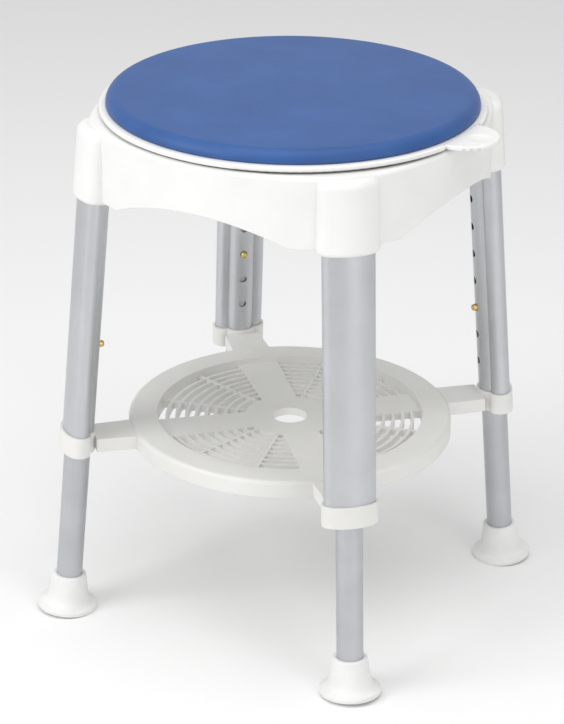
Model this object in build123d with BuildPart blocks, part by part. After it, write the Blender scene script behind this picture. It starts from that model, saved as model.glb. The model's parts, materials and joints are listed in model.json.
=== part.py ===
from build123d import *
from math import cos, radians, sin, sqrt
import os

# Round shower stool with a turning padded seat, four splayed legs that slide to seven heights
# on spring buttons, and a slatted tray that ties the legs together.
# Millimetres, +Z up, floor at Z = 0, seat axis on Z, legs on the diagonals.

# ---- driving dimensions -------------------------------------------------------------------
LEGS = {"front_right": -45, "back_right": 45, "back_left": 135, "front_left": 225}
SIDES = (0, 90, 180, 270)
LEG_SPLAY = 4.757            # lean of every leg toward the seat axis, degrees
LEG_FLOOR_RADIUS = 228.07    # where a leg's axis meets the floor

TUBE_RADIUS = 12.7           # lower leg: 1 inch tube
TUBE_WALL = 1.2
TUBE_BOTTOM = 9.0
TUBE_TOP = 342.0

BORE_RADIUS = 13.6           # upper leg: bore, round inner bulge, two side lobes, crowned face
BULGE_RADIUS = 14.9
LOBE_RADIUS = 9.0
LOBE_OFFSET = 15.75
LOBE_RISE = 2.0
LOBE_WALL = 1.5
FACE_REACH = 15.1
UPPER_LEG_BOTTOM = 176.0
UPPER_LEG_TOP = 492.0

HOLE_PITCH = 29.0            # along the leg
HOLE_COUNT = 7
HOLES_BELOW_BUTTON = 2
HOLE_RADIUS = 3.75
BUTTON_HEIGHT = 282.3
BUTTON_RADIUS = 3.4
BUTTON_REACH = 19.4
BUTTON_FLANGE = 4.6
FLANGE_FACE = 10.4
FLANGE_THICKNESS = 1.4
CLIP_WIDTH = 7.0
CLIP_THICKNESS = 0.8
CLIP_LENGTH = 34.0
CLIP_MARGIN = 0.8

BUSH_INNER = TUBE_RADIUS + 0.08
BUSH_OUTER = BORE_RADIUS - 0.05
BUSH_TOP = 205.0

FOOT_RADIUS = 29.7
FOOT_SOLE = 1.0
FOOT_RIM = 3.6
FOOT_RIM_ROUND = 1.8
CONE_BOTTOM_RADIUS = 19.6
CONE_BOTTOM = 18.0
CONE_TOP_RADIUS = 16.8
CONE_TOP = 37.0
CONE_LIP = 1.6
FOOT_SOCKET_RADIUS = TUBE_RADIUS + 0.05
TREAD_RADII = (9.0, 16.0, 23.0)
TREAD_WIDTH = 2.0
TREAD_DEPTH = 1.5
FOOT_WASHER_THICKNESS = 1.5

SIDE_REACH = 182.0           # apron: four bulged sides
SIDE_RADIUS = 247.0
APRON_CORNER = 12.0
APRON_WALL = 3.0
APRON_BOTTOM = 435.5
APRON_TOP = 503.0
APRON_ROUND = 4.5
ARCH_TOP = 456.5
ARCH_RADIUS = 210.0
DECK_TOP = 499.0
DECK_THICKNESS = 4.0
DECK_RECESS_RADIUS = 178.0
FRAME_HUB_RADIUS = 21.0
FRAME_HUB_BOTTOM = 478.0
RIB_THICKNESS = 3.0
RIB_BOTTOM = 482.0

CAP_HALF_WIDTH = 29.0        # leg sockets at the apron's corners
CAP_WALL = CAP_HALF_WIDTH - LOBE_OFFSET - LOBE_RADIUS
CAP_INNER_REACH = 20.5
CAP_BOTTOM = 432.0
CAP_TOP = 502.0
CAP_TOP_ROUND = 9.0
CAP_BOTTOM_ROUND = 4.0
POCKET_GAP = 0.1
LEG_SCREW_HEIGHT = 472.0
SCREW_RADIUS = 2.4
SCREW_HEAD_RADIUS = 4.6
SCREW_HEAD_HEIGHT = 2.6

RING_RADIUS = 182.5          # turning seat base
RING_BOTTOM = 505.0
RING_TOP = 510.0
RING_LIP = 4.0
RING_ROUND = 1.8
PLATE_BOTTOM = 507.4
SPIGOT_RADIUS = 11.0
SPIGOT_GAP = 0.08
SPIGOT_BOTTOM = FRAME_HUB_BOTTOM - 0.4
BASE_HUB_RADIUS = 24.0
BASE_HUB_BOTTOM = 500.0
BASE_RIB_BOTTOM = 503.6
TRACK_INNER = 94.0
TRACK_OUTER = 106.0
TRACK_BOTTOM = 503.3
SWIVEL_GAP = 0.3

BOLT_RADIUS = 5.0
BOLT_HEAD_WIDTH = 17.0
BOLT_HEAD_HEIGHT = 6.4
BOLT_HEAD_TOP = 509.0
NUT_HEIGHT = 8.0
BOLT_END = 464.0
WASHER_RADIUS = 15.0
WASHER_THICKNESS = 2.0

PAD_RADIUS = 176.4           # padded seat
PAD_TOP = 523.6
PAD_ROUND = 9.0
PAD_LOWER_ROUND = 1.5
BOARD_RADIUS = 150.0
BOARD_TOP = 514.0
PAD_SCREW_CIRCLE = 70.0

LEVER_RADIUS = 33.3          # seat lock lever, a round tongue in the middle of one side
LEVER_CENTRE = 179.5
LEVER_TOP = 509.5
LEVER_BOTTOM = 505.8
LEVER_EDGE = 1.4
THUMB_CENTRE = 195.5
THUMB_RADIUS = 11.8
THUMB_DEPTH = 1.3
GRIP_RADIUS = 1.6
GRIP_ANGLES = (39, 51, 63)
SHANK_HALF_WIDTH = 12.0
SHANK_INNER = 134.0
SHANK_OUTER = 184.0
SHANK_TOP = 507.1
SHANK_BOTTOM = 504.2
DOG_INNER = 146.0
DOG_OUTER = 153.0
DOG_HALF_WIDTH = 4.0
DOG_BOTTOM = 500.2
LEVER_TRAVEL = 8.0
LEVER_SCREW_AT = 166.0
SLOT_RADIUS = 3.4
NOTCH_HALF_WIDTH = 35.5
GUIDE_THICKNESS = 3.0
GUIDE_GAP = 0.4
INDEX_INNER = 144.5
INDEX_OUTER = 153.5
INDEX_TOP = 503.6
INDEX_COUNT = 12
INDEX_GAP = 0.6
SPRING_RADIUS = 2.0
SPRING_WIRE = 0.45
SPRING_START = 115.0
SPRING_TURNS = 9
ANCHOR_RADIUS = 2.5

TRAY_RADIUS = 159.3          # tray
TRAY_TOP = 189.5
TRAY_BOTTOM = 172.5
TRAY_EDGE_ROUND = 4.0
TRAY_SKIN = 3.0
RIM_INNER = 131.0
RIM_WALL = 3.0
FLOOR_TOP = 184.0
FLOOR_BOTTOM = 176.0
SPOKE_THICKNESS = 4.0
SPOKE_HALF_OUTER = 21.0
SPOKE_HALF_INNER = 18.0
TRAY_HUB_RADIUS = 45.0
TRAY_HOLE_RADIUS = 17.4
HUB_WALL = 3.0
SLAT_PITCH = 9.6
SLAT_WIDTH = 3.2
LOUVRE_RIB = 3.2
LOUVRE_ANGLE = 15
ARM_HALF_OUTER = 18.0
ARM_HALF_INNER = 19.5
ARM_TOP = 188.0
ARM_BOTTOM = 174.5
ARM_START = 150.0
ARM_WALL = 3.0
COLLAR_WALL = 2.3
COLLAR_GAP = 0.05
COLLAR_TOP = 193.5
COLLAR_BOTTOM = 173.0
COLLAR_ROUND = 1.0
COLLAR_LIP_RADIUS = TUBE_RADIUS + 0.35
COLLAR_SCREW_HEIGHT = 184.0


# ---- places -------------------------------------------------------------------------------
def outward(angle):
    """Unit vector from the seat axis at an angle round it."""
    return Vector(cos(radians(angle)), sin(radians(angle)), 0)


def leg_axis(angle):
    """Plane where a leg's axis meets the floor: Z runs up the leg and Y leans outward."""
    out = outward(angle)
    up = Vector(0, 0, cos(radians(LEG_SPLAY))) - out * sin(radians(LEG_SPLAY))
    return Plane(origin=out * LEG_FLOOR_RADIUS, x_dir=out.cross(up), z_dir=up)


def along(height):
    """Distance up a leaning leg that reaches a height above the floor."""
    return height / cos(radians(LEG_SPLAY))


def leg_level(angle, height):
    """Plane square to a leg at a height above the floor."""
    return leg_axis(angle).offset(along(height))


def inward_plane(angle, distance):
    """Plane on a leg's axis, a distance up it, whose Z points at the seat axis."""
    axis = leg_axis(angle)
    centre = axis.from_local_coords(Vector(0, 0, distance))
    return Plane(origin=centre, x_dir=axis.x_dir, z_dir=-axis.y_dir)


def side_plane(angle, distance):
    """Upright plane facing outward, a distance from the seat axis, with Y up."""
    out = outward(angle)
    return Plane(origin=out * distance, x_dir=out.cross(Vector(0, 0, -1)), z_dir=out)


def hole_distances():
    """Distances up the leg of the adjustment holes, lowest first."""
    button = along(BUTTON_HEIGHT)
    return [button + HOLE_PITCH * (n - HOLES_BELOW_BUTTON) for n in range(HOLE_COUNT)]


def export(part, name):
    """Label a finished piece and write it."""
    part.label = name
    export_step(part, f"parts/{name}.step")


# ---- shared outlines ----------------------------------------------------------------------
def leg_outline():
    """Outside of the upper leg: bulge, lobes and a crowned face tangent to the lobes."""
    rise = FACE_REACH - LOBE_RISE
    face_radius = (LOBE_OFFSET**2 + rise**2 - LOBE_RADIUS**2) / (2 * (rise - LOBE_RADIUS))
    face_centre = Vector(0, FACE_REACH - face_radius)
    lobe = Vector(LOBE_OFFSET, LOBE_RISE)
    touch = lobe + (lobe - face_centre).normalized() * LOBE_RADIUS
    with BuildSketch() as outline:
        Circle(BULGE_RADIUS)
        with Locations((-LOBE_OFFSET, LOBE_RISE), (LOBE_OFFSET, LOBE_RISE)):
            Circle(LOBE_RADIUS)
        with BuildLine():
            ThreePointArc((-touch.X, touch.Y), (0, FACE_REACH), (touch.X, touch.Y))
            Polyline((touch.X, touch.Y), (LOBE_OFFSET, LOBE_RISE), (-LOBE_OFFSET, LOBE_RISE), (-touch.X, touch.Y))
        make_face()
    return outline.sketch


def cap_outline():
    """Outside of a leg socket: the leg's outline grown by the wall, squared off inward."""
    with BuildSketch() as outline:
        add(leg_outline())
        offset(amount=CAP_WALL)
        with Locations((0, (LOBE_RISE - CAP_INNER_REACH) / 2)):
            Rectangle(2 * CAP_HALF_WIDTH, LOBE_RISE + CAP_INNER_REACH)
    return outline.sketch


def grown_leg(amount):
    """The upper leg's outline grown by an amount."""
    with BuildSketch() as outline:
        add(leg_outline())
        offset(amount=amount)
    return outline.sketch


def apron_outline(inset):
    """Rounded square with bulged sides, pulled in by an inset."""
    shift = SIDE_REACH - SIDE_RADIUS
    with BuildSketch() as outline:
        with Locations((shift, 0)):
            Circle(SIDE_RADIUS - inset)
        for centre in ((0, shift), (-shift, 0), (0, -shift)):
            with Locations(centre):
                Circle(SIDE_RADIUS - inset, mode=Mode.INTERSECT)
        fillet(outline.vertices(), APRON_CORNER - inset)
    return outline.sketch


LEG_OUTLINE = leg_outline()
CAP_OUTLINE = cap_outline()
POCKET_OUTLINE = grown_leg(POCKET_GAP)
COLLAR_OUTLINE = grown_leg(COLLAR_WALL)
COLLAR_BORE_OUTLINE = grown_leg(COLLAR_GAP)
APRON_OUTER = apron_outline(0)
APRON_INNER = apron_outline(APRON_WALL)


# ---- legs ---------------------------------------------------------------------------------
def upper_leg(name, angle):
    """Aluminium extrusion with a row of adjustment holes down its inner side."""
    length = along(UPPER_LEG_TOP) - along(UPPER_LEG_BOTTOM)
    with BuildPart() as leg:
        with BuildSketch(leg_level(angle, UPPER_LEG_BOTTOM)):
            add(LEG_OUTLINE)
            with Locations((-LOBE_OFFSET, LOBE_RISE), (LOBE_OFFSET, LOBE_RISE)):
                Circle(LOBE_RADIUS - LOBE_WALL, mode=Mode.SUBTRACT)
            Circle(BULGE_RADIUS)
            Circle(BORE_RADIUS, mode=Mode.SUBTRACT)
        extrude(amount=length)
        for distance in hole_distances():
            with BuildSketch(inward_plane(angle, distance)):
                Circle(HOLE_RADIUS)
            extrude(amount=BULGE_RADIUS + 1, mode=Mode.SUBTRACT)
        for height in (LEG_SCREW_HEIGHT, COLLAR_SCREW_HEIGHT):
            with BuildSketch(inward_plane(angle, along(height))):
                Circle(SCREW_RADIUS + 0.05)
            extrude(amount=BULGE_RADIUS + 1, mode=Mode.SUBTRACT)
    export(leg.part, f"upper_leg_{name}")


def lower_leg(name, angle):
    """Inner tube with the hole that its button stands in."""
    with BuildPart() as tube:
        with BuildSketch(leg_level(angle, TUBE_BOTTOM)):
            Circle(TUBE_RADIUS)
            Circle(TUBE_RADIUS - TUBE_WALL, mode=Mode.SUBTRACT)
        extrude(amount=along(TUBE_TOP) - along(TUBE_BOTTOM))
        with BuildSketch(inward_plane(angle, along(BUTTON_HEIGHT))):
            Circle(HOLE_RADIUS)
        extrude(amount=TUBE_RADIUS + 1, mode=Mode.SUBTRACT)
    export(tube.part, f"lower_leg_{name}")


def snap_button(name, angle):
    """Domed brass button with a flange that stops inside the tube."""
    with BuildPart() as button:
        with BuildSketch(inward_plane(angle, along(BUTTON_HEIGHT)).offset(FLANGE_FACE - FLANGE_THICKNESS)):
            Circle(BUTTON_FLANGE)
        extrude(amount=FLANGE_THICKNESS)
        with BuildSketch(inward_plane(angle, along(BUTTON_HEIGHT)).offset(FLANGE_FACE - FLANGE_THICKNESS)):
            Circle(BUTTON_RADIUS)
        extrude(amount=BUTTON_REACH - FLANGE_FACE + FLANGE_THICKNESS)
        tip = button.faces().sort_by(Axis(leg_axis(angle).origin, -leg_axis(angle).y_dir))[-1]
        fillet(tip.edges(), BUTTON_RADIUS * 0.8)
    export(button.part, f"snap_button_{name}")


def button_clip(name, angle):
    """V-shaped leaf spring: one arm behind the button, the other on the far wall."""
    plane = leg_axis(angle)
    base = plane.from_local_coords(Vector(0, 0, along(BUTTON_HEIGHT) - CLIP_LENGTH))
    section = Plane(origin=base, x_dir=-plane.y_dir, z_dir=plane.x_dir)
    near = FLANGE_FACE - FLANGE_THICKNESS - CLIP_THICKNESS
    far = CLIP_THICKNESS + CLIP_MARGIN - TUBE_RADIUS + TUBE_WALL
    top = CLIP_LENGTH + BUTTON_FLANGE
    with BuildPart() as clip:
        with BuildSketch(section):
            with BuildLine():
                Polyline((near, top), (near, CLIP_LENGTH - BUTTON_FLANGE), (0, 0), (far, CLIP_LENGTH), (far, top))
                offset(amount=CLIP_THICKNESS, side=Side.LEFT)
            make_face()
        extrude(amount=CLIP_WIDTH / 2, both=True)
    export(clip.part, f"button_clip_{name}")


def foot(name, angle):
    """Flared rubber ferrule, flattened where its inner side meets the floor."""
    axis = leg_axis(angle)
    profile = Plane(origin=axis.origin, x_dir=axis.x_dir, z_dir=-axis.y_dir)
    with BuildPart() as ferrule:
        with BuildSketch(profile):
            with BuildLine():
                Polyline((0, along(TUBE_BOTTOM)), (0, FOOT_SOLE), (FOOT_RADIUS - FOOT_RIM_ROUND, FOOT_SOLE))
                RadiusArc((FOOT_RADIUS - FOOT_RIM_ROUND, FOOT_SOLE), (FOOT_RADIUS, FOOT_SOLE + FOOT_RIM_ROUND), -FOOT_RIM_ROUND)
                Line((FOOT_RADIUS, FOOT_SOLE + FOOT_RIM_ROUND), (FOOT_RADIUS, FOOT_SOLE + FOOT_RIM))
                RadiusArc((FOOT_RADIUS, FOOT_SOLE + FOOT_RIM), (FOOT_RADIUS - FOOT_RIM_ROUND, FOOT_SOLE + FOOT_RIM + FOOT_RIM_ROUND), -FOOT_RIM_ROUND)
                Spline(
                    (FOOT_RADIUS - FOOT_RIM_ROUND, FOOT_SOLE + FOOT_RIM + FOOT_RIM_ROUND),
                    (CONE_BOTTOM_RADIUS, CONE_BOTTOM),
                    tangents=[(-1, 0.12), (-0.12, 1)],
                )
                Line((CONE_BOTTOM_RADIUS, CONE_BOTTOM), (CONE_TOP_RADIUS, along(CONE_TOP) - CONE_LIP))
                RadiusArc((CONE_TOP_RADIUS, along(CONE_TOP) - CONE_LIP), (CONE_TOP_RADIUS - CONE_LIP, along(CONE_TOP)), -CONE_LIP)
                Polyline(
                    (CONE_TOP_RADIUS - CONE_LIP, along(CONE_TOP)),
                    (FOOT_SOCKET_RADIUS, along(CONE_TOP)),
                    (FOOT_SOCKET_RADIUS, along(TUBE_BOTTOM) - FOOT_WASHER_THICKNESS),
                    (0, along(TUBE_BOTTOM) - FOOT_WASHER_THICKNESS),
                    (0, along(TUBE_BOTTOM)),
                )
            make_face()
        revolve(axis=Axis(axis.origin, axis.z_dir))
        for radius in TREAD_RADII:
            with BuildSketch(axis.offset(FOOT_SOLE)):
                Circle(radius + TREAD_WIDTH)
                Circle(radius, mode=Mode.SUBTRACT)
            extrude(amount=TREAD_DEPTH, mode=Mode.SUBTRACT)
        split(bisect_by=Plane.XY, keep=Keep.TOP)
    export(ferrule.part, f"foot_{name}")


def foot_washer(name, angle):
    """Steel washer under the tube's end, which keeps it from cutting through the foot."""
    with BuildPart() as washer:
        with BuildSketch(leg_axis(angle).offset(along(TUBE_BOTTOM) - FOOT_WASHER_THICKNESS)):
            Circle(TUBE_RADIUS)
            Circle(TUBE_RADIUS / 3, mode=Mode.SUBTRACT)
        extrude(amount=FOOT_WASHER_THICKNESS)
    export(washer.part, f"foot_washer_{name}")


for leg_name, leg_angle in LEGS.items():
    upper_leg(leg_name, leg_angle)
    lower_leg(leg_name, leg_angle)
    snap_button(leg_name, leg_angle)
    button_clip(leg_name, leg_angle)
    foot(leg_name, leg_angle)
    foot_washer(leg_name, leg_angle)

# Plastic bushes in the lower ends of the upper legs, which the tubes slide through.
with BuildPart() as leg_bushes:
    for leg_angle in LEGS.values():
        with BuildSketch(leg_level(leg_angle, UPPER_LEG_BOTTOM)):
            Circle(BUSH_OUTER)
            Circle(BUSH_INNER, mode=Mode.SUBTRACT)
        extrude(amount=along(BUSH_TOP) - along(UPPER_LEG_BOTTOM))
        with BuildSketch(inward_plane(leg_angle, along(COLLAR_SCREW_HEIGHT))):
            Circle(SCREW_RADIUS + 0.05)
        extrude(amount=BULGE_RADIUS, mode=Mode.SUBTRACT)
export(leg_bushes.part, "leg_bushes")


def inner_screws(name, height, seat, tip):
    """One pan-head screw per leg, driven from the inside of the stool."""
    with BuildPart() as screws:
        for angle in LEGS.values():
            with BuildSketch(inward_plane(angle, along(height)).offset(tip)):
                Circle(SCREW_RADIUS)
            extrude(amount=seat - tip)
            with BuildSketch(inward_plane(angle, along(height)).offset(seat)):
                Circle(SCREW_HEAD_RADIUS)
            extrude(amount=SCREW_HEAD_HEIGHT)
            with BuildSketch(inward_plane(angle, along(height)).offset(seat + SCREW_HEAD_HEIGHT)):
                Rectangle(2 * SCREW_RADIUS, SCREW_HEAD_HEIGHT / 3)
                Rectangle(SCREW_HEAD_HEIGHT / 3, 2 * SCREW_RADIUS)
            extrude(amount=-SCREW_HEAD_HEIGHT / 2, mode=Mode.SUBTRACT)
    export(screws.part, name)


inner_screws("socket_screws", LEG_SCREW_HEIGHT, CAP_INNER_REACH, BORE_RADIUS - 1)
inner_screws("collar_screws", COLLAR_SCREW_HEIGHT, BULGE_RADIUS + COLLAR_WALL, BUSH_INNER + 0.3)


# ---- seat frame ---------------------------------------------------------------------------
def socket_cap(angle):
    """Solid block of one leg socket, with its top and lower edges rounded."""
    with BuildPart() as cap:
        with BuildSketch(leg_level(angle, CAP_BOTTOM)):
            add(CAP_OUTLINE)
        extrude(amount=along(CAP_TOP) - along(CAP_BOTTOM))
        ends = cap.faces().sort_by(Axis(leg_axis(angle).origin, leg_axis(angle).z_dir))
        fillet(ends[-1].edges(), CAP_TOP_ROUND)
        ends = cap.faces().sort_by(Axis(leg_axis(angle).origin, leg_axis(angle).z_dir))
        fillet(ends[0].edges(), CAP_BOTTOM_ROUND)
    return cap.part


CAPS = [socket_cap(angle) for angle in LEGS.values()]

with BuildPart() as seat_frame:
    with BuildSketch(Plane.XY.offset(APRON_BOTTOM)):
        add(APRON_OUTER)
    extrude(amount=APRON_TOP - APRON_BOTTOM)
    fillet(seat_frame.faces().sort_by(Axis.Z)[-1].edges(), APRON_ROUND)
    # hollow below the deck
    with BuildSketch(Plane.XY.offset(APRON_BOTTOM)):
        add(APRON_INNER)
    extrude(amount=DECK_TOP - DECK_THICKNESS - APRON_BOTTOM, mode=Mode.SUBTRACT)
    # arched lower edge of each side
    for side in SIDES:
        with BuildSketch(side_plane(side, SIDE_REACH / 2)):
            with Locations((0, ARCH_TOP - ARCH_RADIUS)):
                Circle(ARCH_RADIUS)
        extrude(amount=SIDE_REACH, mode=Mode.SUBTRACT)
    add(CAPS)
    # recess above the deck
    with BuildSketch(Plane.XY.offset(DECK_TOP)):
        Circle(DECK_RECESS_RADIUS)
    extrude(amount=APRON_TOP - DECK_TOP + 1, mode=Mode.SUBTRACT)
    # pocket and screw hole of each leg
    for leg_angle in LEGS.values():
        with BuildSketch(leg_level(leg_angle, CAP_BOTTOM - 1)):
            add(POCKET_OUTLINE)
        extrude(amount=along(UPPER_LEG_TOP) - along(CAP_BOTTOM - 1), mode=Mode.SUBTRACT)
        with BuildSketch(inward_plane(leg_angle, along(LEG_SCREW_HEIGHT))):
            Circle(SCREW_RADIUS + 0.05)
        extrude(amount=CAP_INNER_REACH + 1, mode=Mode.SUBTRACT)
    # hub and ribs under the deck
    with BuildSketch(Plane.XY.offset(FRAME_HUB_BOTTOM)):
        Circle(FRAME_HUB_RADIUS)
    extrude(amount=DECK_TOP - FRAME_HUB_BOTTOM)
    with BuildSketch(Plane.XY.offset(RIB_BOTTOM)):
        with PolarLocations(0, 4):
            Rectangle(SIDE_REACH - APRON_WALL / 2, RIB_THICKNESS, align=(Align.MIN, Align.CENTER))
        with PolarLocations(0, 4, start_angle=45):
            Rectangle(SIDE_REACH - CAP_INNER_REACH, RIB_THICKNESS, align=(Align.MIN, Align.CENTER))
    extrude(amount=DECK_TOP - DECK_THICKNESS - RIB_BOTTOM)
    # notched ring that the lever's dog locks into
    with BuildSketch(Plane.XY.offset(DECK_TOP)):
        Circle(INDEX_OUTER)
        Circle(INDEX_INNER, mode=Mode.SUBTRACT)
        with PolarLocations((INDEX_INNER + INDEX_OUTER) / 2, INDEX_COUNT):
            Rectangle(2 * (INDEX_OUTER - INDEX_INNER), 2 * (DOG_HALF_WIDTH + INDEX_GAP), mode=Mode.SUBTRACT)
    extrude(amount=INDEX_TOP - DECK_TOP)
    # pivot bore
    with BuildSketch(Plane.XY.offset(FRAME_HUB_BOTTOM - 1)):
        Circle(SPIGOT_RADIUS + SPIGOT_GAP)
    extrude(amount=DECK_TOP - FRAME_HUB_BOTTOM + 2, mode=Mode.SUBTRACT)
export(seat_frame.part, "seat_frame")

# Low-friction ring between the frame's deck and the seat base.
with BuildPart() as glide_ring:
    with BuildSketch(Plane.XY.offset(DECK_TOP)):
        Circle(TRACK_OUTER - 1)
        Circle(TRACK_INNER + 1, mode=Mode.SUBTRACT)
    extrude(amount=TRACK_BOTTOM - SWIVEL_GAP - DECK_TOP)
export(glide_ring.part, "glide_ring")


# ---- turning seat -------------------------------------------------------------------------
with BuildPart() as seat_base:
    # plate, rim lip, bearing track, hub and spigot in one profile
    with BuildSketch(Plane.XZ):
        with BuildLine():
            Polyline(
                (0, RING_TOP),
                (0, SPIGOT_BOTTOM),
                (SPIGOT_RADIUS, SPIGOT_BOTTOM),
                (SPIGOT_RADIUS, BASE_HUB_BOTTOM),
                (BASE_HUB_RADIUS, BASE_HUB_BOTTOM),
                (BASE_HUB_RADIUS, PLATE_BOTTOM),
                (TRACK_INNER, PLATE_BOTTOM),
                (TRACK_INNER, TRACK_BOTTOM),
                (TRACK_OUTER, TRACK_BOTTOM),
                (TRACK_OUTER, PLATE_BOTTOM),
                (RING_RADIUS - RING_LIP, PLATE_BOTTOM),
                (RING_RADIUS - RING_LIP, RING_BOTTOM),
                (RING_RADIUS, RING_BOTTOM),
                (RING_RADIUS, RING_TOP),
                (0, RING_TOP),
            )
        make_face()
    revolve(axis=Axis.Z)
    rim = seat_base.faces().filter_by(GeomType.CYLINDER).sort_by(SortBy.RADIUS)[-1]
    fillet(rim.edges(), RING_ROUND)
    # stiffening ribs, left out where the lever slides
    with BuildSketch(Plane.XY.offset(BASE_RIB_BOTTOM)):
        with PolarLocations(0, 8, start_angle=22.5):
            Rectangle(TRACK_INNER, RIB_THICKNESS, align=(Align.MIN, Align.CENTER))
    extrude(amount=PLATE_BOTTOM - BASE_RIB_BOTTOM)
    # guides on both sides of the lever's shank, and the post that its spring hooks on
    with BuildSketch(Plane.XY.offset(BASE_RIB_BOTTOM)):
        with Locations((SHANK_INNER, 0)):
            for flip in (-1, 1):
                with Locations((0, flip * (SHANK_HALF_WIDTH + GUIDE_GAP + GUIDE_THICKNESS / 2))):
                    Rectangle(DECK_RECESS_RADIUS - SHANK_INNER, GUIDE_THICKNESS, align=(Align.MIN, Align.CENTER))
        with Locations((SPRING_START, 0)):
            Circle(ANCHOR_RADIUS)
    extrude(amount=PLATE_BOTTOM - BASE_RIB_BOTTOM)
    # gap in the rim for the lever's tongue
    with BuildSketch(Plane.XY.offset(RING_BOTTOM)):
        with Locations((PAD_RADIUS, 0)):
            Rectangle(RING_RADIUS, 2 * NOTCH_HALF_WIDTH, align=(Align.MIN, Align.CENTER))
    extrude(amount=RING_TOP - RING_BOTTOM, mode=Mode.SUBTRACT)
    # screw hole for the lever's shoulder screw
    with BuildSketch(Plane.XY.offset(PLATE_BOTTOM)):
        with Locations((LEVER_SCREW_AT, 0)):
            Circle(SCREW_RADIUS + 0.05)
    extrude(amount=RING_TOP - PLATE_BOTTOM, mode=Mode.SUBTRACT)
    # bolt hole with a pocket for its head
    with BuildSketch(Plane.XY.offset(SPIGOT_BOTTOM)):
        Circle(BOLT_RADIUS + 0.1)
    extrude(amount=RING_TOP - SPIGOT_BOTTOM, mode=Mode.SUBTRACT)
    with BuildSketch(Plane.XY.offset(BOLT_HEAD_TOP - BOLT_HEAD_HEIGHT)):
        RegularPolygon(BOLT_HEAD_WIDTH / 2 + 0.1, 6, major_radius=False)
    extrude(amount=RING_TOP - BOLT_HEAD_TOP + BOLT_HEAD_HEIGHT, mode=Mode.SUBTRACT)
    # holes for the pad's screws
    with BuildSketch(Plane.XY.offset(PLATE_BOTTOM)):
        with PolarLocations(PAD_SCREW_CIRCLE, 4, start_angle=45):
            Circle(SCREW_RADIUS + 0.05)
    extrude(amount=RING_TOP - PLATE_BOTTOM, mode=Mode.SUBTRACT)
export(seat_base.part, "seat_base")

with BuildPart() as seat_pad:
    with BuildSketch(Plane.XY.offset(RING_TOP)):
        Circle(PAD_RADIUS)
    extrude(amount=PAD_TOP - RING_TOP)
    fillet(seat_pad.faces().sort_by(Axis.Z)[-1].edges(), PAD_ROUND)
    fillet(seat_pad.faces().sort_by(Axis.Z)[0].edges(), PAD_LOWER_ROUND)
    with BuildSketch(Plane.XY.offset(RING_TOP)):
        Circle(BOARD_RADIUS + 0.1)
    extrude(amount=BOARD_TOP - RING_TOP, mode=Mode.SUBTRACT)
export(seat_pad.part, "seat_pad")

with BuildPart() as pad_board:
    with BuildSketch(Plane.XY.offset(RING_TOP)):
        Circle(BOARD_RADIUS)
        with PolarLocations(PAD_SCREW_CIRCLE, 4, start_angle=45):
            Circle(SCREW_RADIUS + 0.05, mode=Mode.SUBTRACT)
    extrude(amount=BOARD_TOP - RING_TOP)
export(pad_board.part, "pad_board")

with BuildPart() as pad_screws:
    with BuildSketch(Plane.XY.offset(PLATE_BOTTOM)):
        with PolarLocations(PAD_SCREW_CIRCLE, 4, start_angle=45):
            Circle(SCREW_RADIUS)
    extrude(amount=BOARD_TOP - PLATE_BOTTOM)
    with BuildSketch(Plane.XY.offset(PLATE_BOTTOM)):
        with PolarLocations(PAD_SCREW_CIRCLE, 4, start_angle=45):
            Circle(SCREW_HEAD_RADIUS)
    extrude(amount=-SCREW_HEAD_HEIGHT)
export(pad_screws.part, "pad_screws")

with BuildPart() as pivot_bolt:
    with BuildSketch(Plane.XY.offset(BOLT_END)):
        Circle(BOLT_RADIUS)
    extrude(amount=BOLT_HEAD_TOP - BOLT_END)
    with BuildSketch(Plane.XY.offset(BOLT_HEAD_TOP - BOLT_HEAD_HEIGHT)):
        RegularPolygon(BOLT_HEAD_WIDTH / 2, 6, major_radius=False)
    extrude(amount=BOLT_HEAD_HEIGHT)
export(pivot_bolt.part, "pivot_bolt")

with BuildPart() as pivot_washer:
    with BuildSketch(Plane.XY.offset(SPIGOT_BOTTOM - WASHER_THICKNESS)):
        Circle(WASHER_RADIUS)
        Circle(BOLT_RADIUS + 0.1, mode=Mode.SUBTRACT)
    extrude(amount=WASHER_THICKNESS)
export(pivot_washer.part, "pivot_washer")

with BuildPart() as pivot_nut:
    with BuildSketch(Plane.XY.offset(SPIGOT_BOTTOM - WASHER_THICKNESS - NUT_HEIGHT)):
        RegularPolygon(BOLT_HEAD_WIDTH / 2, 6, major_radius=False)
        Circle(BOLT_RADIUS + 0.05, mode=Mode.SUBTRACT)
    extrude(amount=NUT_HEIGHT)
export(pivot_nut.part, "pivot_nut")


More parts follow.
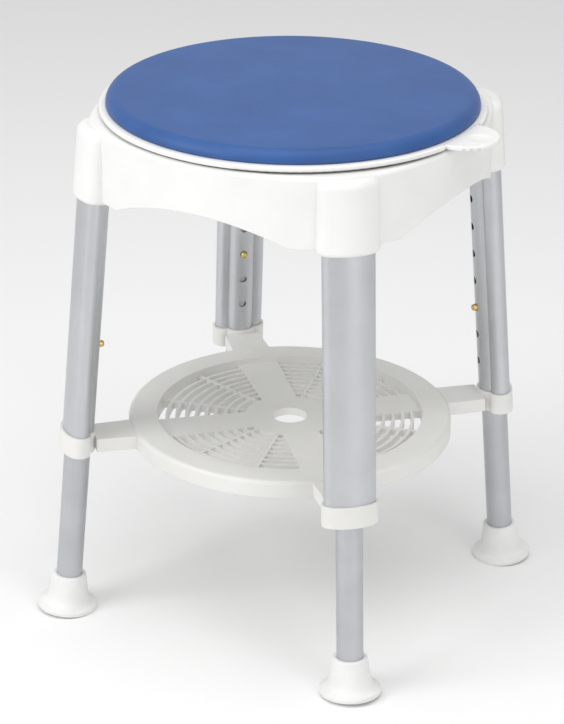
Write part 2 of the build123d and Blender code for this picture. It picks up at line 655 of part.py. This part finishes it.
# ---- seat lock ----------------------------------------------------------------------------
with BuildPart() as lock_lever:
    # tongue outside the rim
    with BuildSketch(Plane.XY.offset(LEVER_BOTTOM)):
        with Locations((LEVER_CENTRE, 0)):
            Circle(LEVER_RADIUS)
        with Locations((PAD_RADIUS + GUIDE_GAP, 0)):
            Rectangle(2 * LEVER_RADIUS, 2 * LEVER_RADIUS, align=(Align.MAX, Align.CENTER), mode=Mode.SUBTRACT)
    extrude(amount=LEVER_TOP - LEVER_BOTTOM)
    rim = lock_lever.faces().filter_by(GeomType.CYLINDER).edges().group_by(Axis.Z)[-1]
    fillet(rim, LEVER_EDGE)
    # shank under the seat base, and the dog on its end
    with BuildSketch(Plane.XY.offset(SHANK_BOTTOM)):
        with Locations((SHANK_INNER, 0)):
            Rectangle(SHANK_OUTER - SHANK_INNER, 2 * SHANK_HALF_WIDTH, align=(Align.MIN, Align.CENTER))
        with Locations((LEVER_SCREW_AT + LEVER_TRAVEL / 2 - LEVER_TRAVEL, 0)):
            SlotCenterToCenter(LEVER_TRAVEL, 2 * SLOT_RADIUS, mode=Mode.SUBTRACT)
    extrude(amount=SHANK_TOP - SHANK_BOTTOM)
    with BuildSketch(Plane.XY.offset(DOG_BOTTOM)):
        with Locations((DOG_INNER, 0)):
            Rectangle(DOG_OUTER - DOG_INNER, 2 * DOG_HALF_WIDTH, align=(Align.MIN, Align.CENTER))
    extrude(amount=SHANK_BOTTOM - DOG_BOTTOM)
    # spring eye on the shank's end
    with BuildSketch(Plane.XY.offset(SHANK_BOTTOM)):
        with Locations((SHANK_INNER, 0)):
            Circle(ANCHOR_RADIUS)
    extrude(amount=SHANK_TOP - SHANK_BOTTOM)
    # thumb hollow
    dish_radius = (THUMB_RADIUS**2 + THUMB_DEPTH**2) / (2 * THUMB_DEPTH)
    with Locations((THUMB_CENTRE, 0, LEVER_TOP - THUMB_DEPTH + dish_radius)):
        Sphere(dish_radius, mode=Mode.SUBTRACT)
    # grip notches under the edge
    with BuildSketch(Plane.XY.offset(LEVER_BOTTOM - 1)):
        with Locations((LEVER_CENTRE, 0)):
            for angle in GRIP_ANGLES + tuple(-turn for turn in GRIP_ANGLES):
                with Locations(outward(angle) * LEVER_RADIUS):
                    Circle(GRIP_RADIUS)
    extrude(amount=(LEVER_TOP - LEVER_BOTTOM) / 2 + 1, mode=Mode.SUBTRACT)
export(lock_lever.part, "lock_lever")

with BuildPart() as lever_screw:
    with BuildSketch(Plane.XY.offset(PLATE_BOTTOM)):
        with Locations((LEVER_SCREW_AT, 0)):
            Circle(SCREW_RADIUS)
    extrude(amount=RING_TOP - PLATE_BOTTOM)
    with BuildSketch(Plane.XY.offset(SHANK_BOTTOM - SWIVEL_GAP)):
        with Locations((LEVER_SCREW_AT, 0)):
            Circle(SLOT_RADIUS - GUIDE_GAP)
    extrude(amount=PLATE_BOTTOM - SHANK_BOTTOM + SWIVEL_GAP)
    with BuildSketch(Plane.XY.offset(SHANK_BOTTOM - SWIVEL_GAP)):
        with Locations((LEVER_SCREW_AT, 0)):
            Circle(SCREW_HEAD_RADIUS)
    extrude(amount=-SCREW_HEAD_HEIGHT)
export(lever_screw.part, "lever_screw")

with BuildPart() as lever_spring:
    spring_length = SHANK_INNER - SPRING_START - 2 * ANCHOR_RADIUS - 1
    coil_height = PLATE_BOTTOM - SPRING_RADIUS - SPRING_WIRE - SWIVEL_GAP
    coil_start = Vector(SPRING_START + ANCHOR_RADIUS + 0.5, 0, coil_height)
    with BuildLine():
        coil = Helix(spring_length / SPRING_TURNS, spring_length, SPRING_RADIUS, center=coil_start, direction=(1, 0, 0))
    with BuildSketch(Plane(origin=coil @ 0, z_dir=coil % 0)):
        Circle(SPRING_WIRE)
    sweep()
export(lever_spring.part, "lever_spring")


# ---- tray ---------------------------------------------------------------------------------
def spoke_outline(reach):
    """Four tapered spokes on the diagonals, out to a radius."""
    with BuildSketch() as outline:
        for angle in LEGS.values():
            with BuildLine(Plane.XY.rotated((0, 0, angle))):
                Polyline(
                    (0, -SPOKE_HALF_INNER), (TRAY_HUB_RADIUS, -SPOKE_HALF_INNER), (reach, -SPOKE_HALF_OUTER),
                    (reach, SPOKE_HALF_OUTER), (TRAY_HUB_RADIUS, SPOKE_HALF_INNER), (0, SPOKE_HALF_INNER), close=True,
                )
            make_face()
    return outline.sketch


def arm_outline(inset, start):
    """Four arms from the rim out to the legs, pulled in by an inset."""
    end = LEG_FLOOR_RADIUS - ARM_TOP * sin(radians(LEG_SPLAY)) - BULGE_RADIUS - inset
    with BuildSketch() as outline:
        for angle in LEGS.values():
            with BuildLine(Plane.XY.rotated((0, 0, angle))):
                Polyline(
                    (start, inset - ARM_HALF_INNER), (end, inset - ARM_HALF_OUTER),
                    (end, ARM_HALF_OUTER - inset), (start, ARM_HALF_INNER - inset), close=True,
                )
            make_face()
    return outline.sketch


SPOKES = spoke_outline(RIM_INNER + RIM_WALL)
ARMS = arm_outline(0, ARM_START)
ARM_HOLLOWS = arm_outline(ARM_WALL, TRAY_RADIUS)

with BuildPart() as tray:
    # rim: top skin with an outer and an inner wall
    with BuildSketch(Plane.XY.offset(TRAY_BOTTOM)):
        Circle(TRAY_RADIUS)
        Circle(RIM_INNER, mode=Mode.SUBTRACT)
    extrude(amount=TRAY_TOP - TRAY_BOTTOM)
    rim = tray.faces().filter_by(GeomType.CYLINDER).sort_by(SortBy.RADIUS)[-1]
    fillet(rim.edges().sort_by(Axis.Z)[-1], TRAY_EDGE_ROUND)
    # arms
    with BuildSketch(Plane.XY.offset(ARM_BOTTOM)):
        add(ARMS)
    extrude(amount=ARM_TOP - ARM_BOTTOM)
    with BuildSketch(Plane.XY.offset(TRAY_BOTTOM)):
        Circle(TRAY_RADIUS - RIM_WALL)
        Circle(RIM_INNER + RIM_WALL, mode=Mode.SUBTRACT)
    extrude(amount=TRAY_TOP - TRAY_SKIN - TRAY_BOTTOM, mode=Mode.SUBTRACT)
    with BuildSketch(Plane.XY.offset(ARM_BOTTOM)):
        add(ARM_HOLLOWS)
    extrude(amount=ARM_TOP - TRAY_SKIN - ARM_BOTTOM, mode=Mode.SUBTRACT)
    # slats and the ribs that hold them
    with BuildSketch(Plane.XY.offset(FLOOR_BOTTOM)):
        radius = RIM_INNER - SLAT_PITCH
        while radius > TRAY_HUB_RADIUS + SLAT_WIDTH:
            Circle(radius + SLAT_WIDTH / 2)
            Circle(radius - SLAT_WIDTH / 2, mode=Mode.SUBTRACT)
            radius -= SLAT_PITCH
        for side in SIDES:
            for turn in (side - LOUVRE_ANGLE, side + LOUVRE_ANGLE):
                with Locations(Location((0, 0, 0), (0, 0, turn))):
                    with Locations((TRAY_HUB_RADIUS - 1, 0)):
                        Rectangle(RIM_INNER - TRAY_HUB_RADIUS + 2, LOUVRE_RIB, align=(Align.MIN, Align.CENTER))
    extrude(amount=FLOOR_TOP - FLOOR_BOTTOM)
    # spokes and hub
    with BuildSketch(Plane.XY.offset(FLOOR_BOTTOM)):
        add(SPOKES)
        Circle(TRAY_HUB_RADIUS)
    extrude(amount=FLOOR_TOP - FLOOR_BOTTOM)
    with BuildSketch(Plane.XY.offset(FLOOR_BOTTOM)):
        add(SPOKES)
        Circle(TRAY_HUB_RADIUS)
        offset(amount=-HUB_WALL)
        Circle(TRAY_HOLE_RADIUS + HUB_WALL, mode=Mode.SUBTRACT)
    extrude(amount=FLOOR_TOP - SPOKE_THICKNESS - FLOOR_BOTTOM, mode=Mode.SUBTRACT)
    with BuildSketch(Plane.XY.offset(FLOOR_BOTTOM)):
        Circle(TRAY_HOLE_RADIUS)
    extrude(amount=FLOOR_TOP - FLOOR_BOTTOM, mode=Mode.SUBTRACT)
    # collars round the legs
    for leg_angle in LEGS.values():
        with BuildSketch(leg_level(leg_angle, COLLAR_BOTTOM)):
            add(COLLAR_OUTLINE)
        extrude(amount=along(COLLAR_TOP) - along(COLLAR_BOTTOM))
        with BuildSketch(leg_level(leg_angle, UPPER_LEG_BOTTOM)):
            add(COLLAR_BORE_OUTLINE)
        extrude(amount=along(COLLAR_TOP) - along(UPPER_LEG_BOTTOM) + 1, mode=Mode.SUBTRACT)
        with BuildSketch(leg_level(leg_angle, COLLAR_BOTTOM - 1)):
            Circle(COLLAR_LIP_RADIUS)
        extrude(amount=along(COLLAR_TOP) - along(COLLAR_BOTTOM), mode=Mode.SUBTRACT)
        with BuildSketch(inward_plane(leg_angle, along(COLLAR_SCREW_HEIGHT)).offset(BULGE_RADIUS + COLLAR_WALL)):
            Circle(SCREW_HEAD_RADIUS + 0.4)
        extrude(amount=SCREW_HEAD_HEIGHT + 1, mode=Mode.SUBTRACT)
        with BuildSketch(inward_plane(leg_angle, along(COLLAR_SCREW_HEIGHT))):
            Circle(SCREW_RADIUS + 0.05)
        extrude(amount=BULGE_RADIUS + COLLAR_WALL + 1, mode=Mode.SUBTRACT)
export(tray.part, "tray")
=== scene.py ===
import json
import math

import bmesh
import bpy
from mathutils import Matrix, Vector


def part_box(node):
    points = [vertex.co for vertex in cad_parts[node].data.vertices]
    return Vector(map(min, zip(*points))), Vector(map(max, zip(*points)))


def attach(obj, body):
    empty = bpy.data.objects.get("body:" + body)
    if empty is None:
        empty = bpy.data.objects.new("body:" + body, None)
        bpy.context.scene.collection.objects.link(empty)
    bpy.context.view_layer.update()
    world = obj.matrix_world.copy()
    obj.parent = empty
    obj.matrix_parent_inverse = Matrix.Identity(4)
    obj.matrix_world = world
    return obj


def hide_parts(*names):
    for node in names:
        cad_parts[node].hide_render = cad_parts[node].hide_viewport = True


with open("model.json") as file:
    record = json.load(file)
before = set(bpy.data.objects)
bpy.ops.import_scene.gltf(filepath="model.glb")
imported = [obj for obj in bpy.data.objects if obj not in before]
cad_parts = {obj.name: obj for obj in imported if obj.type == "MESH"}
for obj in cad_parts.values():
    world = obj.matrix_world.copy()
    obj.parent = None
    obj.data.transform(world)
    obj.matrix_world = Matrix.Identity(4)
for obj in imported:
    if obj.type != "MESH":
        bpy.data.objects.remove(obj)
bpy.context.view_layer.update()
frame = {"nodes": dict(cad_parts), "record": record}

MM = 0.001

# Camera: round the seat axis, a little above the object.
CAMERA_AZIMUTH = 30.1
CAMERA_ELEVATION = 24.13
CAMERA_ROLL = 0.5
CAMERA_DISTANCE = 2.632
CAMERA_LENS = 133.4
CAMERA_HEIGHT = 0.2414
CAMERA_ASIDE = -0.0083
SENSOR_WIDTH = 36

# Materials: the part of a noise's range that a tint or a roughness is spread over.
NOISE_LOW = 0.3
NOISE_HIGH = 0.7

# Padded seat.
PAD_RINGS = 40
PAD_STEPS = 192
PAD_UNDER_STEPS = 6
PAD_LOWER_EDGE_STEPS = 6
PAD_EDGE_STEPS = 16
PAD_EDGE = 11 * MM
PAD_LOWER_EDGE = 2 * MM
PAD_CROWN = 1.2 * MM
PAD_BOARD_SHARE = 0.8
AXIS_RADIUS = 1e-6

# Stage: floor, world and the three area lights as place, size and power.
FLOOR_SIZE = 12
FLOOR_COLOUR = (0.9, 0.9, 0.9, 1)
FLOOR_ROUGHNESS = 0.9
WORLD_COLOUR = (1, 1, 1, 1)
WORLD_STRENGTH = 0.55
LIGHT_TARGET = (0, 0, 0.3)
LIGHTS = {
    "overhead": ((0.3, -0.4, 2.6), (2.4, 2.4), 30),
    "key": ((-1.4, -2.2, 1.9), (1.6, 1.6), 36),
    "fill": ((2.6, -1.2, 1.2), (1.4, 1.8), 14),
}


# ---- materials ------------------------------------------------------------------------------
def new_material(name):
    """An empty node material with its Principled shader."""
    mat = bpy.data.materials.new(name)
    mat.use_nodes = True
    shader = mat.node_tree.nodes["Principled BSDF"]
    return mat, mat.node_tree, shader


def node(tree, kind, **settings):
    """A new node with some properties and input values set."""
    made = tree.nodes.new(kind)
    for key, value in settings.items():
        if hasattr(made, key):
            setattr(made, key, value)
        else:
            made.inputs[key.replace("_", " ")].default_value = value
    return made


def place(tree, stretch=(1, 1, 1)):
    """Object coordinates in metres, stretched along each axis."""
    where = node(tree, "ShaderNodeTexCoord")
    mapping = node(tree, "ShaderNodeMapping")
    mapping.inputs["Scale"].default_value = stretch
    tree.links.new(where.outputs["Object"], mapping.inputs["Vector"])
    return mapping.outputs["Vector"]


def noise(tree, vector, scale, detail=3.0, rough=0.5):
    """Fine or coarse noise from 0 to 1."""
    made = node(tree, "ShaderNodeTexNoise", Scale=scale, Detail=detail, Roughness=rough)
    tree.links.new(vector, made.inputs["Vector"])
    return made.outputs["Fac"]


def spread(tree, source, low, high):
    """Noise mapped to a range."""
    made = node(tree, "ShaderNodeMapRange")
    made.inputs["From Min"].default_value = NOISE_LOW
    made.inputs["From Max"].default_value = NOISE_HIGH
    made.inputs["To Min"].default_value = low
    made.inputs["To Max"].default_value = high
    tree.links.new(source, made.inputs["Value"])
    return made.outputs["Result"]


def tint(tree, source, dark, light):
    """Noise mapped to two close colours."""
    ramp = node(tree, "ShaderNodeValToRGB")
    ramp.color_ramp.elements[0].position = NOISE_LOW
    ramp.color_ramp.elements[1].position = NOISE_HIGH
    ramp.color_ramp.elements[0].color = (*dark, 1)
    ramp.color_ramp.elements[1].color = (*light, 1)
    tree.links.new(source, ramp.inputs["Fac"])
    return ramp.outputs["Color"]


def bump(tree, shader, height, strength, depth, edge=0.0):
    """Bump over softly rounded edges."""
    made = node(tree, "ShaderNodeBump", Strength=strength, Distance=depth)
    tree.links.new(height, made.inputs["Height"])
    if edge:
        rounded = node(tree, "ShaderNodeBevel", samples=6, Radius=edge)
        tree.links.new(rounded.outputs["Normal"], made.inputs["Normal"])
    tree.links.new(made.outputs["Normal"], shader.inputs["Normal"])


def moulded_plastic(name, dark, light, rough, coat):
    """Injection-moulded plastic: faint mottling, fine spark-eroded grain."""
    mat, tree, shader = new_material(name)
    space = place(tree)
    cloud = noise(tree, space, 18.0, 4.0)
    grain = noise(tree, space, 2600.0, 2.0)
    tree.links.new(tint(tree, cloud, dark, light), shader.inputs["Base Color"])
    tree.links.new(spread(tree, grain, rough - 0.05, rough + 0.05), shader.inputs["Roughness"])
    shader.inputs["Coat Weight"].default_value = coat
    shader.inputs["Coat Roughness"].default_value = 0.25
    shader.inputs["IOR"].default_value = 1.49
    bump(tree, shader, grain, 0.12, 0.00012, edge=0.0006)
    return mat


def satin_metal(name, dark, light, rough):
    """Anodised aluminium with faint drawing lines along its length."""
    mat, tree, shader = new_material(name)
    streaks = noise(tree, place(tree, (1, 1, 0.02)), 900.0, 3.0)
    cloud = noise(tree, place(tree), 25.0, 3.0)
    tree.links.new(tint(tree, cloud, dark, light), shader.inputs["Base Color"])
    tree.links.new(spread(tree, streaks, rough - 0.06, rough + 0.06), shader.inputs["Roughness"])
    shader.inputs["Metallic"].default_value = 1.0
    bump(tree, shader, streaks, 0.08, 0.00005, edge=0.0003)
    return mat


def bright_metal(name, colour, rough):
    """Plated or turned metal with fine scratches."""
    mat, tree, shader = new_material(name)
    scratches = noise(tree, place(tree, (1, 1, 4)), 1400.0, 4.0)
    dark = tuple(c * 0.85 for c in colour)
    tree.links.new(tint(tree, scratches, dark, colour), shader.inputs["Base Color"])
    tree.links.new(spread(tree, scratches, rough - 0.05, rough + 0.1), shader.inputs["Roughness"])
    shader.inputs["Metallic"].default_value = 1.0
    bump(tree, shader, scratches, 0.1, 0.00004, edge=0.0002)
    return mat


def soft_rubber(name, dark, light, rough):
    """Matt rubber with a fine skin."""
    mat, tree, shader = new_material(name)
    space = place(tree)
    cloud = noise(tree, space, 45.0, 4.0)
    grain = noise(tree, space, 1900.0, 3.0)
    tree.links.new(tint(tree, cloud, dark, light), shader.inputs["Base Color"])
    tree.links.new(spread(tree, grain, rough - 0.08, rough + 0.08), shader.inputs["Roughness"])
    shader.inputs["Subsurface Weight"].default_value = 0.08
    shader.inputs["Subsurface Radius"].default_value = (0.002, 0.002, 0.002)
    bump(tree, shader, grain, 0.25, 0.00015, edge=0.0006)
    return mat


def skinned_foam(name, dark, light, rough):
    """Self-skinned foam: a leathery fine grain with pores and a soft sheen."""
    mat, tree, shader = new_material(name)
    space = place(tree)
    cloud = noise(tree, space, 22.0, 5.0)
    pores = node(tree, "ShaderNodeTexVoronoi", Scale=900.0)
    tree.links.new(space, pores.inputs["Vector"])
    grain = noise(tree, space, 700.0, 4.0, 0.6)
    mix = node(tree, "ShaderNodeMath", operation="ADD")
    tree.links.new(pores.outputs["Distance"], mix.inputs[0])
    tree.links.new(grain, mix.inputs[1])
    tree.links.new(tint(tree, cloud, dark, light), shader.inputs["Base Color"])
    tree.links.new(spread(tree, grain, rough - 0.06, rough + 0.06), shader.inputs["Roughness"])
    shader.inputs["Sheen Weight"].default_value = 0.12
    shader.inputs["Sheen Roughness"].default_value = 0.4
    shader.inputs["IOR"].default_value = 1.45
    bump(tree, shader, mix.outputs["Value"], 0.18, 0.0002)
    return mat


WHITE = moulded_plastic("white_plastic", (0.80, 0.80, 0.785), (0.84, 0.84, 0.825), 0.38, 0.15)
TRAY = moulded_plastic("tray_plastic", (0.74, 0.735, 0.71), (0.78, 0.775, 0.75), 0.48, 0.05)
ACETAL = moulded_plastic("acetal", (0.62, 0.62, 0.58), (0.66, 0.66, 0.62), 0.4, 0.0)
BOARD = moulded_plastic("board", (0.05, 0.05, 0.055), (0.065, 0.065, 0.07), 0.6, 0.0)
ALUMINIUM = satin_metal("satin_aluminium", (0.56, 0.57, 0.59), (0.60, 0.61, 0.63), 0.42)
TUBE = satin_metal("tube_aluminium", (0.50, 0.51, 0.53), (0.55, 0.56, 0.58), 0.40)
BRASS = bright_metal("brass", (0.72, 0.53, 0.20), 0.25)
SPRING = bright_metal("spring_steel", (0.35, 0.36, 0.38), 0.35)
ZINC = bright_metal("zinc_steel", (0.62, 0.63, 0.65), 0.3)
RUBBER = soft_rubber("white_rubber", (0.78, 0.78, 0.765), (0.83, 0.83, 0.82), 0.6)
FOAM = skinned_foam("blue_foam", (0.020, 0.080, 0.265), (0.026, 0.098, 0.31), 0.5)

SLOTS = {
    "white_plastic": WHITE, "tray_plastic": TRAY, "acetal": ACETAL, "board": BOARD,
    "satin_aluminium": ALUMINIUM, "tube_aluminium": TUBE, "brass": BRASS, "spring_steel": SPRING,
    "zinc_steel": ZINC, "white_rubber": RUBBER, "blue_foam": FOAM,
}


def dress_cad_nodes():
    """Give every carried-over CAD node the material of its slot."""
    slot_of = {s["node"]: s["material_slot"] for s in frame["record"]["subparts"]}
    for name, obj in frame["nodes"].items():
        obj.data.materials.clear()
        obj.data.materials.append(SLOTS[slot_of[name]])


# ---- padded seat ----------------------------------------------------------------------------
def pad_profile(low, high, radius, board):
    """Points from the underside's centre, round the edge, to the crown."""
    floor, top = low, high - PAD_CROWN
    points = [(board * k / PAD_UNDER_STEPS, floor) for k in range(PAD_UNDER_STEPS + 1)]
    points.append((radius - PAD_LOWER_EDGE, floor))
    for k in range(1, PAD_LOWER_EDGE_STEPS + 1):
        turn = math.radians(-90 + 90 * k / PAD_LOWER_EDGE_STEPS)
        height = floor + PAD_LOWER_EDGE + PAD_LOWER_EDGE * math.sin(turn)
        points.append((radius - PAD_LOWER_EDGE + PAD_LOWER_EDGE * math.cos(turn), height))
    for k in range(PAD_EDGE_STEPS + 1):
        turn = math.radians(90 * k / PAD_EDGE_STEPS)
        height = top - PAD_EDGE + PAD_EDGE * math.sin(turn)
        points.append((radius - PAD_EDGE + PAD_EDGE * math.cos(turn), height))
    inner = radius - PAD_EDGE
    for k in range(1, PAD_RINGS + 1):
        share = 1 - k / PAD_RINGS
        points.append((inner * share, top + PAD_CROWN * (1 - share * share)))
    return points


def make_pad():
    """Crowned round foam pad with a softly rounded edge."""
    low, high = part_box("seat_pad")
    radius = (high.x - low.x) / 2
    profile = pad_profile(low.z, high.z, radius, radius * PAD_BOARD_SHARE)
    mesh = bmesh.new()
    rings = []
    for r, z in profile:
        if r < AXIS_RADIUS:
            rings.append([mesh.verts.new((0, 0, z))])
            continue
        ring = []
        for k in range(PAD_STEPS):
            turn = 2 * math.pi * k / PAD_STEPS
            ring.append(mesh.verts.new((r * math.cos(turn), r * math.sin(turn), z)))
        rings.append(ring)
    for a, b in zip(rings, rings[1:]):
        for k in range(PAD_STEPS):
            n = (k + 1) % PAD_STEPS
            corners = [a[k % len(a)], a[n % len(a)], b[n % len(b)], b[k % len(b)]]
            unique = list(dict.fromkeys(corners))
            if len(unique) > 2:
                mesh.faces.new(unique)
    bmesh.ops.recalc_face_normals(mesh, faces=mesh.faces)
    data = bpy.data.meshes.new("padded_seat")
    mesh.to_mesh(data)
    mesh.free()
    data.shade_smooth()
    pad = bpy.data.objects.new("padded_seat", data)
    bpy.context.scene.collection.objects.link(pad)
    data.materials.append(FOAM)
    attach(pad, "seat")
    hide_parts("seat_pad")


# ---- stage ----------------------------------------------------------------------------------
def make_floor():
    """Pale plain floor."""
    bpy.ops.mesh.primitive_plane_add(size=FLOOR_SIZE, location=(0, 0, 0))
    floor = bpy.context.object
    floor.name = "floor"
    mat, _, shader = new_material("pale_floor")
    shader.inputs["Base Color"].default_value = FLOOR_COLOUR
    shader.inputs["Roughness"].default_value = FLOOR_ROUGHNESS
    floor.data.materials.append(mat)


def area_light(name, where, size, power):
    """Large soft light aimed at the object."""
    data = bpy.data.lights.new(name, "AREA")
    data.shape = "RECTANGLE"
    data.size, data.size_y = size
    data.energy = power
    light = bpy.data.objects.new(name, data)
    light.location = where
    light.rotation_mode = "QUATERNION"
    light.rotation_quaternion = (Vector(LIGHT_TARGET) - Vector(where)).to_track_quat("-Z", "Y")
    bpy.context.scene.collection.objects.link(light)


def make_lights():
    """Soft studio light: big overhead, key from the left front, fill from the right."""
    world = bpy.data.worlds.new("studio")
    world.use_nodes = True
    world.node_tree.nodes["Background"].inputs["Color"].default_value = WORLD_COLOUR
    world.node_tree.nodes["Background"].inputs["Strength"].default_value = WORLD_STRENGTH
    bpy.context.scene.world = world
    for name, (where, size, power) in LIGHTS.items():
        area_light(name, where, size, power)


def make_camera():
    """The camera at the viewing angle named above."""
    a, e, roll = (math.radians(v) for v in (CAMERA_AZIMUTH, CAMERA_ELEVATION, CAMERA_ROLL))
    back = Vector((math.sin(a) * math.cos(e), -math.cos(a) * math.cos(e), math.sin(e)))
    right = Vector((math.cos(a), math.sin(a), 0))
    up = back.cross(right)
    data = bpy.data.cameras.new("camera")
    data.lens = CAMERA_LENS
    data.sensor_width = SENSOR_WIDTH
    camera = bpy.data.objects.new("camera", data)
    where = Vector((0, 0, CAMERA_HEIGHT)) + right * CAMERA_ASIDE + back * CAMERA_DISTANCE
    turned = Matrix(
        (right * math.cos(roll) + up * math.sin(roll), up * math.cos(roll) - right * math.sin(roll), back)
    )
    camera.matrix_world = Matrix.Translation(where) @ turned.transposed().to_4x4()
    bpy.context.scene.collection.objects.link(camera)
    bpy.context.scene.camera = camera


bpy.context.scene.view_settings.view_transform = "Standard"
dress_cad_nodes()
make_pad()
make_floor()
make_lights()
make_camera()
